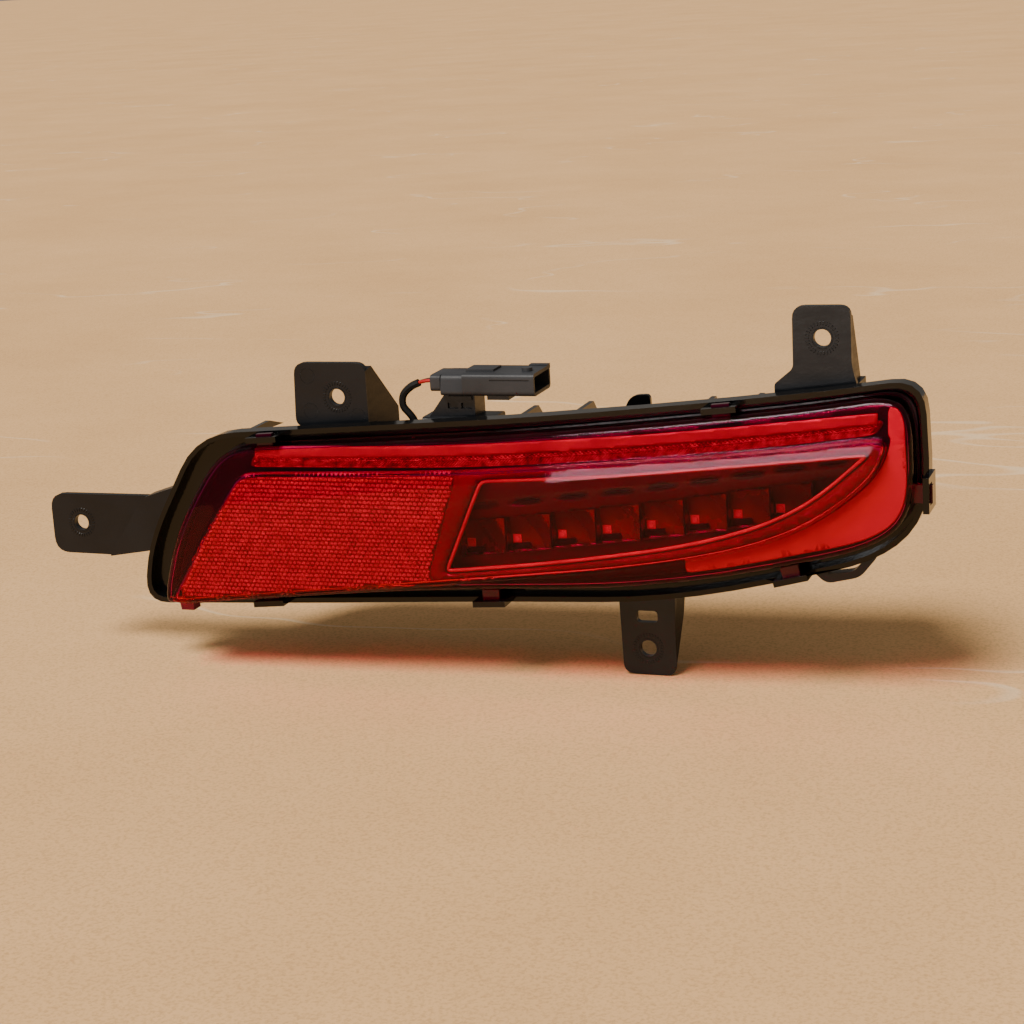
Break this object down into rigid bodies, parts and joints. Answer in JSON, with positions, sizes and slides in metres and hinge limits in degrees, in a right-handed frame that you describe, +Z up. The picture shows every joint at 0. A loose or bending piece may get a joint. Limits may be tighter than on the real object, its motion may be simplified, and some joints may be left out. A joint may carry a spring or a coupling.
{
  "type": "rear bumper stop and fog lamp",
  "caption": "Red rear bumper stop and fog lamp with a reflex reflector, a row of LED cups behind a clear red lens, a black housing, mounting brackets and a short sealed lead.",
  "frame": {"origin": "centre of the upper left bracket's bolt hole, on the front seat face of its plate", "axes": "+X along the lamp towards the end that is wider and higher, +Y forwards into the car, +Z up; the lens faces -Y"},
  "size_m": [0.3951, 0.0802, 0.1538],
  "materials": {
    "housing_black": "satin moulded black polypropylene with fine grain",
    "lens_red": "clear deep red acrylic, polished",
    "seal_rubber": "matt black rubber",
    "reflex_red": "moulded red acrylic with a honeycomb of cube corners",
    "inner_red": "dark red moulded acrylic",
    "guide_red": "clear red light guide",
    "prism_red": "red acrylic with a row of small prisms",
    "bezel_dark": "dark gloss plastic seen through the red lens",
    "panel_red": "bright red reflector panel",
    "tray_red": "metallised plastic seen through the red lens",
    "board_green": "solder mask on glass fibre board",
    "chip_black": "moulded epoxy",
    "header_white": "nylon",
    "capacitor_can": "drawn can",
    "connector_grey": "dark grey glass filled nylon",
    "connector_cap": "matt black wire seal cover",
    "lead_black": "matt black sleeve and insulation",
    "wire_red": "red wire insulation",
    "led_emitter": "moulded clear LED body",
    "screw_steel": "zinc plated",
    "pin_metal": "tinned brass blade"
  },
  "bodies": {
    "root": {"rear_housing": "housing_black", "outer_lens": "lens_red", "lens_seal": "seal_rubber", "reflex_reflector": "reflex_red", "reflex_back_cover": "inner_red", "light_guide": "guide_red", "window_surround": "inner_red", "prism_strip": "prism_red", "inner_bezel": "bezel_dark", "side_reflector": "panel_red", "led_reflector_tray": "tray_red", "board_screw_1": "screw_steel", "board_screw_2": "screw_steel", "board_screw_3": "screw_steel", "circuit_board": "board_green", "led_1": "led_emitter", "led_2": "led_emitter", "led_3": "led_emitter", "led_4": "led_emitter", "led_5": "led_emitter", "led_6": "led_emitter", "led_7": "led_emitter", "led_8": "led_emitter", "led_9": "led_emitter", "driver_chip": "chip_black", "surge_diode": "chip_black", "ballast_resistor": "chip_black", "board_header": "header_white", "smoothing_capacitor": "capacitor_can", "left_bracket": "housing_black", "upper_left_bracket": "housing_black", "upper_right_bracket": "housing_black", "lower_bracket": "housing_black", "lower_clip_loop": "housing_black", "connector_bracket": "housing_black", "connector_body": "connector_grey", "connector_rear_cap": "connector_cap", "connector_pin_1": "pin_metal", "connector_pin_2": "pin_metal", "connector_pin_3": "pin_metal", "lead_grommet": "seal_rubber", "lead_sleeve": "lead_black", "lead_wire_red": "wire_red", "lead_wire_black": "lead_black", "board_wire_red": "wire_red", "board_wire_black": "lead_black", "breather_vent": "seal_rubber"}
  },
  "joints": []
}
